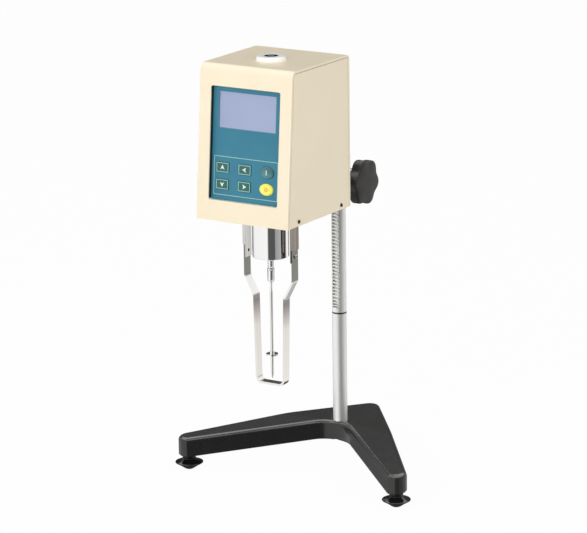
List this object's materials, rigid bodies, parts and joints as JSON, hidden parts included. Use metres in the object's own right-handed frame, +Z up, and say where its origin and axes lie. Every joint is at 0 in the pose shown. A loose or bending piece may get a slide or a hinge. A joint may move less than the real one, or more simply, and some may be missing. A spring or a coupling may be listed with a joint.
{
  "type": "rotational viscometer",
  "caption": "Rotational viscometer: a measuring head with display, keys, spindle and guard on a rack-and-pinion stand with a V-shaped levelling base.",
  "frame": {"origin": "on the table, at the centre of the instrument's footprint box", "axes": "+Z up along the column, -Y towards the operator, +X to the right, where the lift knob is"},
  "size_m": [0.2794, 0.2542, 0.4542],
  "materials": {
    "black_enamel": "semi-gloss enamel",
    "steel": "plain steel",
    "polished_steel": "polished",
    "black_plastic": "matte",
    "black_gloss": "gloss",
    "cast_aluminium": "satin",
    "knob_black": "satin",
    "cream_paint": "satin enamel",
    "teal_film": "satin film",
    "clear_window": "clear",
    "display_lilac": "display",
    "board_green": "board",
    "brass": "turned",
    "key_green": "printed film",
    "key_dark": "gloss",
    "key_yellow": "gloss",
    "brushed_steel": "bright strip",
    "motor_grey": "plated",
    "white_plastic": "gloss",
    "vial_glass": "clear"
  },
  "bodies": {
    "stand": {"base_casting": "black_enamel", "column_screw": "steel", "column_washer": "steel", "lower_pole": "polished_steel", "stop_ring": "black_plastic", "rack_rod": "polished_steel", "rod_cap": "black_plastic"},
    "carriage": {"lift_clamp": "cast_aluminium"},
    "pinion": {"pinion_shaft": "steel", "lift_knob": "knob_black", "tension_nut": "knob_black"},
    "handle_lock": {"handle_lock_screw": "knob_black"},
    "drive": {"drive_shaft": "steel", "drive_gear": "brass", "upper_encoder_disc": "black_plastic", "hairspring": "steel"},
    "motor_rotor": {"motor_pinion": "brass"},
    "measuring_spindle": {"pivot_shaft": "steel", "lower_encoder_disc": "black_plastic", "coupling_nut": "steel", "spindle": "polished_steel"},
    "rocker": {"switch_rocker": "black_gloss"},
    "up_key": {"key_up": "key_green"},
    "down_key": {"key_down": "key_green"},
    "left_key": {"key_left": "key_green"},
    "right_key": {"key_right": "key_green"},
    "run_key": {"key_run": "key_dark"},
    "reset_key": {"key_reset": "key_yellow"},
    "foot_front_left": {"levelling_foot_front_left": "black_gloss"},
    "foot_front_right": {"levelling_foot_front_right": "black_gloss"},
    "foot_rear": {"levelling_foot_rear": "black_gloss"},
    "head": {"board_pillars": "brass", "boss": "polished_steel", "boss_cap_nut": "brass", "bottom_plate": "cream_paint", "cover_screws": "steel", "data_port": "steel", "display_lens": "clear_window", "display_module": "display_lilac", "encoder_sensor": "black_plastic", "frame_posts": "brass", "gear_deck": "cast_aluminium", "guard": "brushed_steel", "guard_brackets": "brushed_steel", "guard_screws": "steel", "handle_nut": "steel", "handle_rod": "polished_steel", "head_wrap": "cream_paint", "keypad_board": "board_green", "level_ring": "white_plastic", "level_vial": "vial_glass", "main_board": "board_green", "membrane_panel": "teal_film", "motor": "motor_grey", "motor_plate": "cast_aluminium", "pivot_bearings": "brass", "power_jack": "steel", "side_panel_left": "cream_paint", "side_panel_right": "cream_paint", "switch_housing": "black_plastic"}
  },
  "joints": [
    {"name": "head_lift", "type": "slide", "parent": "stand", "child": "carriage", "axis": [0, 0, 1], "range_m": [-0.105, 0.06]},
    {"name": "lift_knob_turn", "type": "hinge", "parent": "carriage", "child": "pinion", "pos_m": [0, 0.04116, 0.3084], "axis": [1, 0, 0], "range_deg": [-354, 619]},
    {"name": "handle_lock_turn", "type": "hinge", "parent": "carriage", "child": "handle_lock", "pos_m": [-0.016, 0.02215, 0.3321], "axis": [-1, 0, 0], "range_deg": [0, 720]},
    {"name": "head_swivel", "type": "hinge", "parent": "carriage", "child": "head", "pos_m": [0, -0.00825, 0.3321], "axis": [0, 1, 0], "range_deg": [-5, 5]},
    {"name": "drive_turn", "type": "hinge", "parent": "head", "child": "drive", "pos_m": [0, -0.07485, 0.3492], "axis": [0, 0, 1], "continuous": true},
    {"name": "motor_turn", "type": "hinge", "parent": "head", "child": "motor_rotor", "pos_m": [0, -0.05565, 0.3492], "axis": [0, 0, 1], "continuous": true},
    {"name": "spindle_deflection", "type": "hinge", "parent": "drive", "child": "measuring_spindle", "pos_m": [0, -0.07485, 0.249], "axis": [0, 0, 1], "range_deg": [-85, 85], "stiffness_Nm_per_rad": 0.000048},
    {"name": "power_rock", "type": "hinge", "parent": "head", "child": "rocker", "pos_m": [-0.034, -0.00875, 0.3627], "axis": [1, 0, 0], "range_deg": [-16, 0]},
    {"name": "up_press", "type": "slide", "parent": "head", "child": "up_key", "axis": [0, 0.9968, -0.0805], "range_m": [0, 0.0005], "stiffness_N_per_m": 400, "springref_m": -0.0002},
    {"name": "left_press", "type": "slide", "parent": "head", "child": "left_key", "axis": [0, 0.9968, -0.0805], "range_m": [0, 0.0005], "stiffness_N_per_m": 400, "springref_m": -0.0002},
    {"name": "run_press", "type": "slide", "parent": "head", "child": "run_key", "axis": [0, 0.9968, -0.0805], "range_m": [0, 0.0005], "stiffness_N_per_m": 400, "springref_m": -0.0002},
    {"name": "down_press", "type": "slide", "parent": "head", "child": "down_key", "axis": [0, 0.9968, -0.0805], "range_m": [0, 0.0005], "stiffness_N_per_m": 400, "springref_m": -0.0002},
    {"name": "right_press", "type": "slide", "parent": "head", "child": "right_key", "axis": [0, 0.9968, -0.0805], "range_m": [0, 0.0005], "stiffness_N_per_m": 400, "springref_m": -0.0002},
    {"name": "reset_press", "type": "slide", "parent": "head", "child": "reset_key", "axis": [0, 0.9968, -0.0805], "range_m": [0, 0.0005], "stiffness_N_per_m": 400, "springref_m": -0.0002},
    {"name": "foot_front_left_turn", "type": "hinge", "parent": "stand", "child": "foot_front_left", "pos_m": [-0.125, -0.04265, 0], "axis": [0, 0, 1], "range_deg": [-720, 720]},
    {"name": "foot_front_right_turn", "type": "hinge", "parent": "stand", "child": "foot_front_right", "pos_m": [0.125, -0.04265, 0], "axis": [0, 0, 1], "range_deg": [-720, 720]},
    {"name": "foot_rear_turn", "type": "hinge", "parent": "stand", "child": "foot_rear", "pos_m": [0, 0.10615, 0], "axis": [0, 0, 1], "range_deg": [-720, 720]}
  ],
  "couplings": [
    {"joint": "lift_knob_turn", "follows": "head_lift", "rad_per_m": -102.67},
    {"joint": "motor_turn", "follows": "drive_turn", "ratio": -3}
  ]
}
